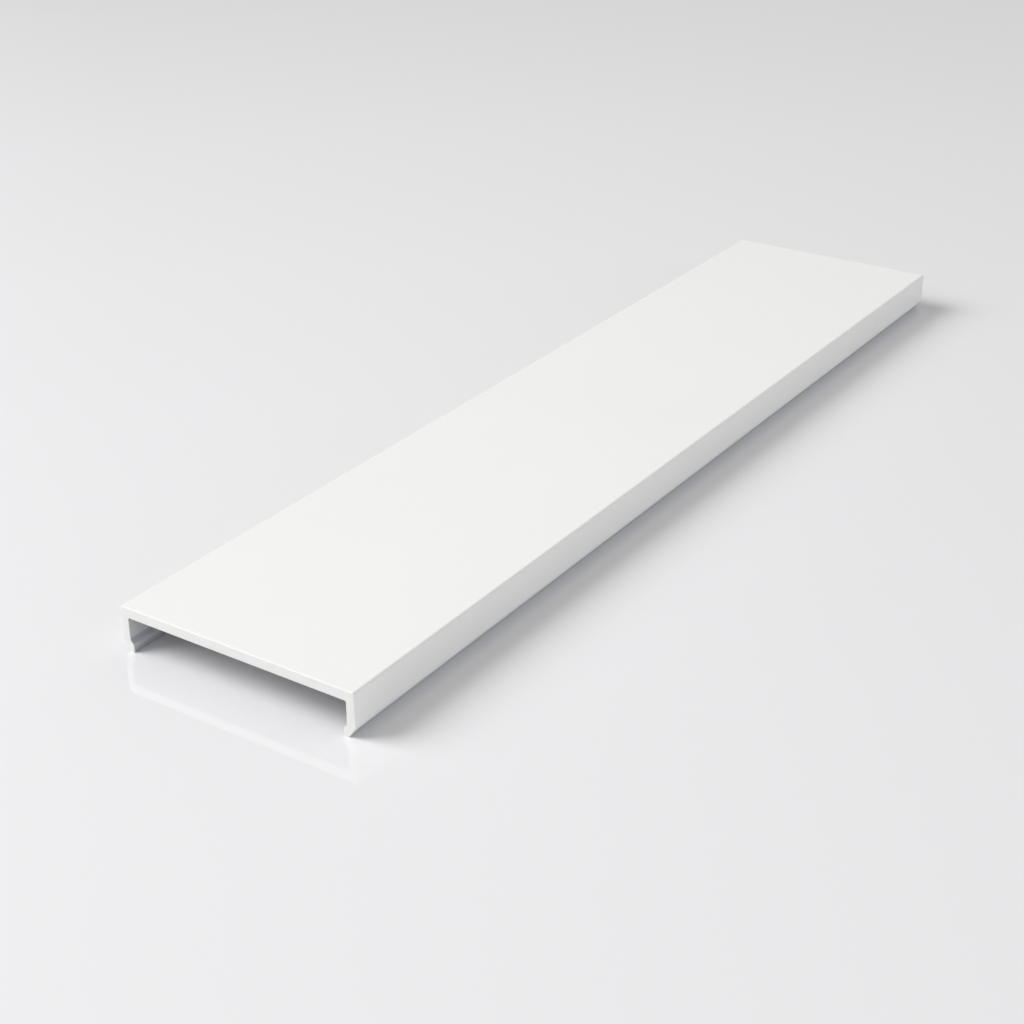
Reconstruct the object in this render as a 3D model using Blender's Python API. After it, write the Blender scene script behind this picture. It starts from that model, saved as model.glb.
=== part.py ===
"""Joint cover trim: one length of extruded aluminium channel, powder coated white.

The channel lies open side down on the floor, on the feet of its two legs. A long bead on the
inner side of each leg, near the foot, snaps over the rail that the cover is pressed on, and the
chamfer outside the foot lets the leg slide in. Both ends are sawn square and coated over.
Metres, +Z up, the length along Y.
"""

import math

import bpy
from mathutils import Matrix, Vector

MM = 0.001

# The piece as a whole.
WIDTH = 50 * MM
HEIGHT = 8.6 * MM
LENGTH = 225 * MM

# The walls of the section.
WEB = 2.0 * MM
LEG = 1.75 * MM

# The snap bead: how far it stands out of the leg, how high it is, and how much of that slopes.
BEAD_OUT = 0.65 * MM
BEAD_HIGH = 2.3 * MM
BEAD_SLOPE = 0.8 * MM

# The lead-in chamfer on the outer side of each foot.
LEAD_ACROSS = 1.4 * MM
LEAD_UP = 2.0 * MM

# The rounds of the section.
TOP_ROUND = 0.5 * MM
LEAD_ROUND = 1.5 * MM
FOOT_ROUND = 0.3 * MM
BEAD_ROUND = 0.3 * MM
BEAD_ROOT_ROUND = 0.8 * MM
INNER_ROUND = 0.3 * MM
ROUND_STEPS = 6

# The sawn ends have their edges broken, and the coating rounds them.
END_BREAK = 0.12 * MM
END_STEPS = 2

WHITE = (0.80, 0.80, 0.79, 1.0)
SATIN = 0.4


def rounded(corners, steps):
    """The outline through these corners, each an (x, z, radius), with an arc at each radius."""
    points = []
    for i, (x, z, radius) in enumerate(corners):
        corner = Vector((x, z))
        if not radius:
            points.append(corner)
            continue
        before = (Vector(corners[i - 1][:2]) - corner).normalized()
        after = (Vector(corners[(i + 1) % len(corners)][:2]) - corner).normalized()
        half = before.angle(after) / 2
        centre = corner + (before + after).normalized() * radius / math.sin(half)
        first = corner + before * radius / math.tan(half) - centre
        turned = math.copysign(math.pi - 2 * half, before.cross(after))
        for step in range(steps + 1):
            points.append(centre + Matrix.Rotation(-turned * step / steps, 2) @ first)
    return points


def right_half():
    """The corners of the section's right half, from the web's underside round to the top face."""
    outer = WIDTH / 2
    inner = outer - LEG
    bead = inner - BEAD_OUT
    return [
        (0, HEIGHT - WEB, 0),
        (inner, HEIGHT - WEB, INNER_ROUND),
        (inner, BEAD_HIGH, BEAD_ROOT_ROUND),
        (bead, BEAD_HIGH - BEAD_SLOPE, BEAD_ROUND),
        (bead, 0, FOOT_ROUND),
        (outer - LEAD_ACROSS, 0, FOOT_ROUND),
        (outer, LEAD_UP, LEAD_ROUND),
        (outer, HEIGHT, TOP_ROUND),
        (0, HEIGHT, 0),
    ]


def section_outline():
    """The whole section: the right half, then its mirror image on the way back."""
    half = rounded(right_half(), ROUND_STEPS)
    left = [Vector((-point.x, point.y)) for point in reversed(half[1:-1])]
    return half[1:-1] + left


def clear_scene():
    for obj in list(bpy.data.objects):
        bpy.data.objects.remove(obj)


def powder_coat():
    material = bpy.data.materials.new("white_powder_coat")
    material.use_nodes = True
    shader = material.node_tree.nodes["Principled BSDF"]
    shader.inputs["Base Color"].default_value = WHITE
    shader.inputs["Roughness"].default_value = SATIN
    shader.inputs["Metallic"].default_value = 0.0
    material.diffuse_color = WHITE
    return material


def extrude(name, outline, length, break_by, material, collection):
    """A flat closed outline pushed through a length, filled at both ends, their edges rounded."""
    curve = bpy.data.curves.new(name, "CURVE")
    curve.dimensions = "2D"
    curve.fill_mode = "BOTH"
    # The bevel grows outwards and endwards, so the outline and the length start smaller by it.
    curve.extrude = length / 2 - break_by
    curve.offset = -break_by
    curve.bevel_depth = break_by
    curve.bevel_resolution = END_STEPS
    spline = curve.splines.new("POLY")
    spline.points.add(len(outline) - 1)
    for point, place in zip(spline.points, outline):
        point.co = (place.x, place.y, 0, 1)
    spline.use_cyclic_u = True
    curve.materials.append(material)
    obj = bpy.data.objects.new(name, curve)
    collection.objects.link(obj)
    # The outline's own Y goes up, and its thickness lies along the length.
    obj.rotation_euler.x = math.pi / 2
    return obj


def build():
    clear_scene()
    trim = bpy.data.collections.new("joint_cover_trim")
    bpy.context.scene.collection.children.link(trim)
    extrude("cover_profile", section_outline(), LENGTH, END_BREAK, powder_coat(), trim)


build()
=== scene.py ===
import math

import bpy
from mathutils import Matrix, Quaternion, Vector


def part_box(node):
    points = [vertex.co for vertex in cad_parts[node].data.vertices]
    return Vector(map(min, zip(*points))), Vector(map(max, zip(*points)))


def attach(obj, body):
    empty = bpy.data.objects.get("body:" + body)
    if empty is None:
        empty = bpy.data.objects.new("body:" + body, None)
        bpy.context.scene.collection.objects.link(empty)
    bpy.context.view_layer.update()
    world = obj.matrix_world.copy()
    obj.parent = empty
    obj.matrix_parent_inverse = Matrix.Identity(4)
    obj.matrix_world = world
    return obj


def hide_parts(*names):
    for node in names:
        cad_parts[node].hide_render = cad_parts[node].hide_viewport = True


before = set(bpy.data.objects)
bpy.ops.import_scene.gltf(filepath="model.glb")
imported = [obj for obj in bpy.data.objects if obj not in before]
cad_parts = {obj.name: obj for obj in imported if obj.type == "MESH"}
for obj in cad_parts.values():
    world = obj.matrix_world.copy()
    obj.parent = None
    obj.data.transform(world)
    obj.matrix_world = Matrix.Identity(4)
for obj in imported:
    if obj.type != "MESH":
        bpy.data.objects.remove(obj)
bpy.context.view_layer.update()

# The cover profile.
# One length of extruded aluminium channel with a bead inside each foot, by which it clips over a
# rail. It is pushed through a die, stretched straight, sawn square and then powder coated white
# all over, sawn ends too. The coat rounds the outer edges more than the edges inside the channel.

MM = 0.001

web = 2.0 * MM
leg = 1.75 * MM
bead_out = 0.65 * MM
bead_high = 2.3 * MM
bead_slope = 0.8 * MM
lead_across = 1.4 * MM
lead_up = 2.0 * MM
top_round = 0.5 * MM
lead_round = 1.5 * MM
foot_round = 0.3 * MM
bead_round = 0.3 * MM
bead_root_round = 0.8 * MM
inner_round = 0.3 * MM
outer_ease = 0.16 * MM
inner_ease = 0.1 * MM

low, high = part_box("cover_profile")
outer = high.x
top = high.z
inner = outer - leg
bead = inner - bead_out

# Painted shade: it deepens in the corner under the web for this far to either side of it, and in the
# crease for this far up the leg above the bead. Up the lead-in the painted shade fades out over this
# share, at its upper end.
corner_shade = 0.7 * MM
crease_shade = 0.45 * MM
lead_shade_fade = 0.26

# Each corner: across, up, its own round, how far the sawn edge is eased there, and how thin and dull
# the coat is there and how dark its painted shade. The painted shade lies inside the channel, under
# the feet and on the lead-in, where shade falls, and is deepest in the crease above the bead and the
# corner under the web.
right_corners = [
    (inner - corner_shade, top - web, 0, inner_ease, 0.6),
    (inner, top - web, inner_round, inner_ease, 1),
    (inner, top - web - corner_shade, 0, inner_ease, 0.6),
    (inner, bead_high + crease_shade, 0, inner_ease, 0.6),
    (inner, bead_high, bead_root_round, inner_ease, 1.3),
    (bead, bead_high - bead_slope, bead_round, inner_ease, 0.7),
    (bead, 0, foot_round, inner_ease, 1.2),
    (outer - lead_across, 0, foot_round, inner_ease, 1),
    (outer - lead_shade_fade * lead_across, (1 - lead_shade_fade) * lead_up, 0, inner_ease, 1),
    (outer, lead_up, lead_round, outer_ease, 0),
    (outer, top, top_round, outer_ease, 0),
]
corners = right_corners + [(-x, *rest) for x, *rest in reversed(right_corners)]

section = bpy.data.meshes.new("section_corners")
section.from_pydata(
    [(x, z, 0) for x, z, *_ in corners],
    [(i, (i + 1) % len(corners)) for i in range(len(corners))],
    [],
)
for place, name in ((2, "round"), (3, "ease"), (4, "thin")):
    layer = section.attributes.new(name, "FLOAT", "POINT")
    for i, corner in enumerate(corners):
        layer.data[i].value = corner[place]


def add_node(tree, kind, settings=None, values=None):
    """A node with these settings, and these plain values in its input sockets."""
    node = tree.nodes.new(kind)
    for name, value in (settings or {}).items():
        setattr(node, name, value)
    for socket, value in (values or {}).items():
        node.inputs[socket].default_value = value
    return node


def wire(tree, *pairs):
    """Links, each from an output socket to an input socket."""
    for source, target in pairs:
        tree.links.new(source, target)


def sum_of(tree, operation, first, second=None):
    """One arithmetic node; each term is a socket or a plain number."""
    node = add_node(tree, "ShaderNodeMath", {"operation": operation})
    for slot, term in enumerate((first, second)):
        if isinstance(term, (int, float)):
            node.inputs[slot].default_value = term
        elif term is not None:
            tree.links.new(term, node.inputs[slot])
    return node.outputs[0]


press = bpy.data.node_groups.new("extrusion_press", "GeometryNodeTree")
press.interface.new_socket("Section Corners", in_out="INPUT", socket_type="NodeSocketGeometry")
for name, kind in (
    ("Length", "NodeSocketFloat"),
    ("Round Steps", "NodeSocketInt"),
    ("Edge Steps", "NodeSocketInt"),
    ("Coat", "NodeSocketMaterial"),
):
    press.interface.new_socket(name, in_out="INPUT", socket_type=kind)
press.interface.new_socket("Profile", in_out="OUTPUT", socket_type="NodeSocketGeometry")
given = add_node(press, "NodeGroupInput").outputs


def corner_value(name):
    """What the section's corners hold under this name."""
    read = add_node(press, "GeometryNodeInputNamedAttribute", values={"Name": name})
    return read.outputs["Attribute"]


def kept(geometry, *fields):
    """The geometry with fields stored on it, and the stored fields, to read further on."""
    node = add_node(press, "GeometryNodeCaptureAttribute")
    wire(press, (geometry, node.inputs["Geometry"]))
    for name, kind, field in fields:
        node.capture_items.new(kind, name)
        wire(press, (field, node.inputs[name]))
    return node.outputs["Geometry"], [node.outputs[name] for name, _, _ in fields]


# The section: the corners joined by straight lines, each corner then rounded by its own radius.
line = add_node(press, "GeometryNodeMeshToCurve")
fillet = add_node(press, "GeometryNodeFilletCurve", {"mode": "POLY"})
wire(
    press,
    (given["Section Corners"], line.inputs["Mesh"]),
    (line.outputs["Curve"], fillet.inputs["Curve"]),
    (given["Round Steps"], fillet.inputs["Count"]),
    (corner_value("round"), fillet.inputs["Radius"]),
)
outward = add_node(press, "ShaderNodeVectorMath", {"operation": "CROSS_PRODUCT"}, {1: (0, 0, 1)})
wire(press, (add_node(press, "GeometryNodeInputTangent").outputs[0], outward.inputs[0]))
outline, (place, outward_kept, ease, thin) = kept(
    fillet.outputs["Curve"],
    ("place", "VECTOR", add_node(press, "GeometryNodeInputPosition").outputs[0]),
    ("outward", "VECTOR", outward.outputs[0]),
    ("ease", "FLOAT", corner_value("ease")),
    ("thin", "FLOAT", corner_value("thin")),
)

# The length: one ring of the section for each step of the rounding at either end.
travel = add_node(press, "GeometryNodeCurvePrimitiveLine", values={"End": (0, 0, 1)})
last_ring = sum_of(press, "ADD", sum_of(press, "MULTIPLY", given["Edge Steps"], 2), 1)
rings = add_node(press, "GeometryNodeResampleCurve", {"mode": "COUNT"})
wire(
    press,
    (travel.outputs["Curve"], rings.inputs["Curve"]),
    (sum_of(press, "ADD", last_ring, 1), rings.inputs["Count"]),
)
path, (ring,) = kept(
    rings.outputs["Curve"],
    ("ring", "FLOAT", add_node(press, "GeometryNodeInputIndex").outputs[0]),
)
pushed = add_node(press, "GeometryNodeCurveToMesh", values={"Fill Caps": True})
wire(press, (path, pushed.inputs["Curve"]), (outline, pushed.inputs["Profile Curve"]))

# A ring's step from its own end, as an angle round the eased edge.
step = sum_of(press, "MINIMUM", ring, sum_of(press, "SUBTRACT", last_ring, ring))
share = sum_of(press, "DIVIDE", step, given["Edge Steps"])
angle = sum_of(press, "MULTIPLY", share, math.pi / 2)
cut_in = sum_of(press, "SUBTRACT", 1, sum_of(press, "SINE", angle))
cut_back = sum_of(press, "SUBTRACT", 1, sum_of(press, "COSINE", angle))
pulled_in = sum_of(press, "MULTIPLY", ease, cut_in)
drawn_back = sum_of(press, "MULTIPLY", ease, cut_back)
middle = sum_of(press, "DIVIDE", last_ring, 2)
side = sum_of(press, "SIGN", sum_of(press, "SUBTRACT", ring, middle))
reach = sum_of(press, "SUBTRACT", sum_of(press, "DIVIDE", given["Length"], 2), drawn_back)
along = add_node(press, "ShaderNodeCombineXYZ")
inset = add_node(press, "ShaderNodeVectorMath", {"operation": "SCALE"})
flat = add_node(press, "ShaderNodeVectorMath", {"operation": "SUBTRACT"})
placed = add_node(press, "ShaderNodeVectorMath", {"operation": "ADD"})
wire(
    press,
    (sum_of(press, "MULTIPLY", side, reach), along.inputs["Z"]),
    (outward_kept, inset.inputs[0]),
    (pulled_in, inset.inputs["Scale"]),
    (place, flat.inputs[0]),
    (inset.outputs[0], flat.inputs[1]),
    (flat.outputs[0], placed.inputs[0]),
    (along.outputs[0], placed.inputs[1]),
)
moved = add_node(press, "GeometryNodeSetPosition")
wire(
    press,
    (pushed.outputs["Mesh"], moved.inputs["Geometry"]),
    (placed.outputs[0], moved.inputs["Position"]),
)

# Where the coat lies over sawn metal, and where along the sides it is thin and dull and takes painted
# shade, for the material.
on_points = {"data_type": "FLOAT", "domain": "POINT"}
sawn = add_node(press, "GeometryNodeStoreNamedAttribute", on_points, {"Name": "sawn"})
# Painted shade along the sides, which also dulls the coat there; it fades to nought over the eased
# sawn ends.
thin_and_shade_store = add_node(press, "GeometryNodeStoreNamedAttribute", on_points, {"Name": "thin"})
laid = add_node(press, "GeometryNodeTransform", values={"Rotation": (math.pi / 2, 0, 0)})
smooth = add_node(press, "GeometryNodeSetShadeSmooth")
real = add_node(press, "GeometryNodeRealizeInstances")
coated = add_node(press, "GeometryNodeSetMaterial")
done = add_node(press, "NodeGroupOutput")
wire(
    press,
    (moved.outputs["Geometry"], sawn.inputs["Geometry"]),
    (sum_of(press, "SUBTRACT", 1, share), sawn.inputs["Value"]),
    (sawn.outputs["Geometry"], thin_and_shade_store.inputs["Geometry"]),
    (sum_of(press, "MULTIPLY", thin, share), thin_and_shade_store.inputs["Value"]),
    (thin_and_shade_store.outputs["Geometry"], laid.inputs["Geometry"]),
    (laid.outputs["Geometry"], smooth.inputs["Geometry"]),
    (smooth.outputs["Geometry"], real.inputs["Geometry"]),
    (real.outputs["Geometry"], coated.inputs["Geometry"]),
    (given["Coat"], coated.inputs["Material"]),
    (coated.outputs["Geometry"], done.inputs["Profile"]),
)

# The coat: satin white polyester powder, baked on. Its skin has the soft waves that such a coat
# flows into and a finer grain, over faint lines that the die leaves and the saw's marks at the ends.
saw_depth = 0.03 * MM
die_depth = 0.004 * MM
wave_depth = 0.025 * MM
grain_depth = 0.003 * MM
# How much of the painted shade's blue-grey shows where it is deepest, and how much duller the thin
# coat is there.
painted_shade_share = 0.9
duller_where_thin = 0.12

coat = bpy.data.materials.new("white_powder_coat")
coat.use_nodes = True
mix = coat.node_tree
shader = mix.nodes["Principled BSDF"]
spot = add_node(mix, "ShaderNodeTexCoord").outputs["Object"]


def surface_value(name):
    """What the mesh holds under this name."""
    return add_node(mix, "ShaderNodeAttribute", {"attribute_name": name}).outputs["Fac"]


def grain(scale, detail, stretch=(1, 1, 1), turn=(0, 0, 0)):
    """Soft noise with about this many waves to the metre, stretched along an axis."""
    mapping = add_node(mix, "ShaderNodeMapping", values={"Scale": stretch, "Rotation": turn})
    noise = add_node(mix, "ShaderNodeTexNoise", values={"Scale": scale, "Detail": detail})
    noise.inputs["Roughness"].default_value = 0.5
    wire(mix, (spot, mapping.inputs["Vector"]), (mapping.outputs["Vector"], noise.inputs["Vector"]))
    return noise.outputs["Fac"]


def raised(height, distance, under=None):
    """The surface raised by this height, as much as the distance, on top of what lies under it."""
    bump = add_node(mix, "ShaderNodeBump", values={"Strength": 1.0, "Distance": distance})
    wire(mix, (height, bump.inputs["Height"]))
    if under is not None:
        wire(mix, (under, bump.inputs["Normal"]))
    return bump.outputs["Normal"]


sawn_here = surface_value("sawn")
thin_coat_and_shade_here = surface_value("thin")
saw_marks = sum_of(mix, "MULTIPLY", grain(2600, 1, (1, 1, 0.12), (0, 0.5, 0)), sawn_here)
skin = raised(saw_marks, saw_depth)
skin = raised(grain(1500, 1, (1, 0.004, 1)), die_depth, skin)
skin = raised(grain(620, 1.5), wave_depth, skin)
skin = raised(grain(4200, 1), grain_depth, skin)

tone = add_node(mix, "ShaderNodeMix", {"data_type": "RGBA"})
tone.inputs["A"].default_value = (0.834, 0.836, 0.819, 1)
tone.inputs["B"].default_value = (0.862, 0.864, 0.850, 1)
# Painted shade: the base colour turns towards this blue-grey inside the channel, under the feet and on
# the lead-in, darkest in the crease and the corner under the web.
painted_shade_mix = add_node(mix, "ShaderNodeMix", {"data_type": "RGBA"})
painted_shade_mix.inputs["B"].default_value = (0.50, 0.515, 0.55, 1)
wire(
    mix,
    (grain(22, 3), tone.inputs["Factor"]),
    (tone.outputs["Result"], painted_shade_mix.inputs["A"]),
    (sum_of(mix, "MULTIPLY", thin_coat_and_shade_here, painted_shade_share), painted_shade_mix.inputs["Factor"]),
    (painted_shade_mix.outputs["Result"], shader.inputs["Base Color"]),
)
gloss = add_node(mix, "ShaderNodeMapRange", values={"To Min": 0.38, "To Max": 0.5})
wire(mix, (grain(160, 3), gloss.inputs["Value"]))
duller = sum_of(mix, "MULTIPLY", thin_coat_and_shade_here, duller_where_thin)
rough = sum_of(mix, "ADD", gloss.outputs["Result"], duller)
wire(mix, (rough, shader.inputs["Roughness"]), (skin, shader.inputs["Normal"]))

stock = bpy.data.objects.new("coated_profile", section)
bpy.context.scene.collection.objects.link(stock)
run = stock.modifiers.new("press", "NODES")
run.node_group = press
wanted = {"Length": high.y - low.y, "Round Steps": 12, "Edge Steps": 6, "Coat": coat}
for socket in press.interface.items_tree:
    if socket.name in wanted:
        run[socket.identifier] = wanted[socket.name]
# The wide flat faces lead the shading, so that the rounds between them don't tint them.
lead = stock.modifiers.new("flat_faces_lead", "WEIGHTED_NORMAL")
lead.weight = 80

graph = bpy.context.evaluated_depsgraph_get()
cover_mesh = bpy.data.meshes.new_from_object(stock.evaluated_get(graph), depsgraph=graph)
bpy.data.objects.remove(stock)
cover = bpy.data.objects.new("coated_profile", cover_mesh)
bpy.context.scene.collection.objects.link(cover)
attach(cover, "root")
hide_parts("cover_profile")

# The floor.
# A sheet of white acrylic that the profile lies on: it takes the shadow, and mirrors faintly.

sheet = bpy.data.materials.new("white_sheet")
sheet.use_nodes = True
sheet_shader = sheet.node_tree.nodes["Principled BSDF"]
sheet_shader.inputs["Base Color"].default_value = (0.802, 0.80, 0.814, 1)
sheet_shader.inputs["Roughness"].default_value = 0.0
half = 6
floor_corners = [(-half, -half, 0), (half, -half, 0), (half, half, 0), (-half, half, 0)]
floor_mesh = bpy.data.meshes.new("floor")
floor_mesh.from_pydata(floor_corners, [], [(0, 1, 2, 3)])
floor_mesh.materials.append(sheet)
floor = bpy.data.objects.new("floor", floor_mesh)
bpy.context.scene.collection.objects.link(floor)

# The light.
# A photographer's room: a bright, slightly cool wall to the right, dimmer ones in front and behind,
# a dim, slightly warm ceiling, and two large soft lamps on the left in front, one higher than the
# other, which make the one shadow beside the right leg.

room = bpy.data.worlds.new("pale_room")
room.use_nodes = True
air = room.node_tree
view = add_node(air, "ShaderNodeSeparateXYZ")
wire(air, (add_node(air, "ShaderNodeTexCoord").outputs["Generated"], view.inputs[0]))
background = air.nodes["Background"]
background.inputs["Strength"].default_value = 1.0
# Each wall: its axis, which way along it, how narrow its glow is, and its colour.
glow = None
for axis, way, focus, color in (
    ("X", 1, 4, (1.955, 1.970, 2.000)),
    ("Y", 1, 2, (0.620, 0.620, 0.620)),
    ("Y", -1, 2, (0.370, 0.370, 0.370)),
    ("Z", 1, 2, (0.364, 0.360, 0.355)),
):
    facing = sum_of(air, "MAXIMUM", sum_of(air, "MULTIPLY", view.outputs[axis], way), 0)
    wall = add_node(air, "ShaderNodeVectorMath", {"operation": "SCALE"}, {0: color})
    walls = add_node(air, "ShaderNodeVectorMath", {"operation": "ADD"}, {1: (0, 0, 0)})
    wire(
        air,
        (sum_of(air, "POWER", facing, focus), wall.inputs["Scale"]),
        (wall.outputs[0], walls.inputs[0]),
    )
    if glow is not None:
        wire(air, (glow, walls.inputs[1]))
    glow = walls.outputs[0]

# What the camera and the floor's mirror see of the room is evened out: no wall is as bright as the
# right one there, and none is dark.
rays = add_node(air, "ShaderNodeLightPath").outputs
even = glow
for operation, shade in (("MAXIMUM", 0.3), ("MINIMUM", 0.75)):
    limit = add_node(air, "ShaderNodeVectorMath", {"operation": operation}, {1: (shade, shade, shade)})
    wire(air, (even, limit.inputs[0]))
    even = limit.outputs[0]
seen = add_node(air, "ShaderNodeMix", {"data_type": "RGBA"})
wire(
    air,
    (sum_of(air, "MAXIMUM", rays["Is Camera Ray"], rays["Is Singular Ray"]), seen.inputs["Factor"]),
    (glow, seen.inputs["A"]),
    (even, seen.inputs["B"]),
    (seen.outputs["Result"], background.inputs["Color"]),
)
bpy.context.scene.world = room

# Each lamp: its name, the side of its square, its watts and its place. It points at the profile.
for name, size, watts, place in (
    ("high_lamp", 1.14, 19.2, (-1.184, -0.684, 1.320)),
    ("low_lamp", 0.95, 13.3, (-0.988, -0.722, 0.874)),
):
    soft = bpy.data.lights.new(name, "AREA")
    soft.shape = "SQUARE"
    soft.size = size
    soft.energy = watts
    lamp = bpy.data.objects.new(name, soft)
    lamp.location = place
    lamp.rotation_euler = (-lamp.location).to_track_quat("-Z", "Y").to_euler()
    bpy.context.scene.collection.objects.link(lamp)

# The camera.
# It looks over the near right corner and along the length. Its place and lens are worked out from
# the edges of the profile in the photograph.

lens = bpy.data.cameras.new("camera")
lens.sensor_width = 36
lens.lens = 64.54
lens.clip_start = 0.01
camera = bpy.data.objects.new("camera", lens)
camera.location = (0.17955, -0.29723, 0.16270)
aim = Vector((0.01123, -0.04808, 0.0086)) - camera.location
level = aim.to_track_quat("-Z", "Y")
camera.rotation_euler = (level @ Quaternion((0, 0, 1), math.radians(-0.464))).to_euler()
bpy.context.scene.collection.objects.link(camera)
bpy.context.scene.camera = camera
bpy.context.scene.view_settings.view_transform = "Standard"
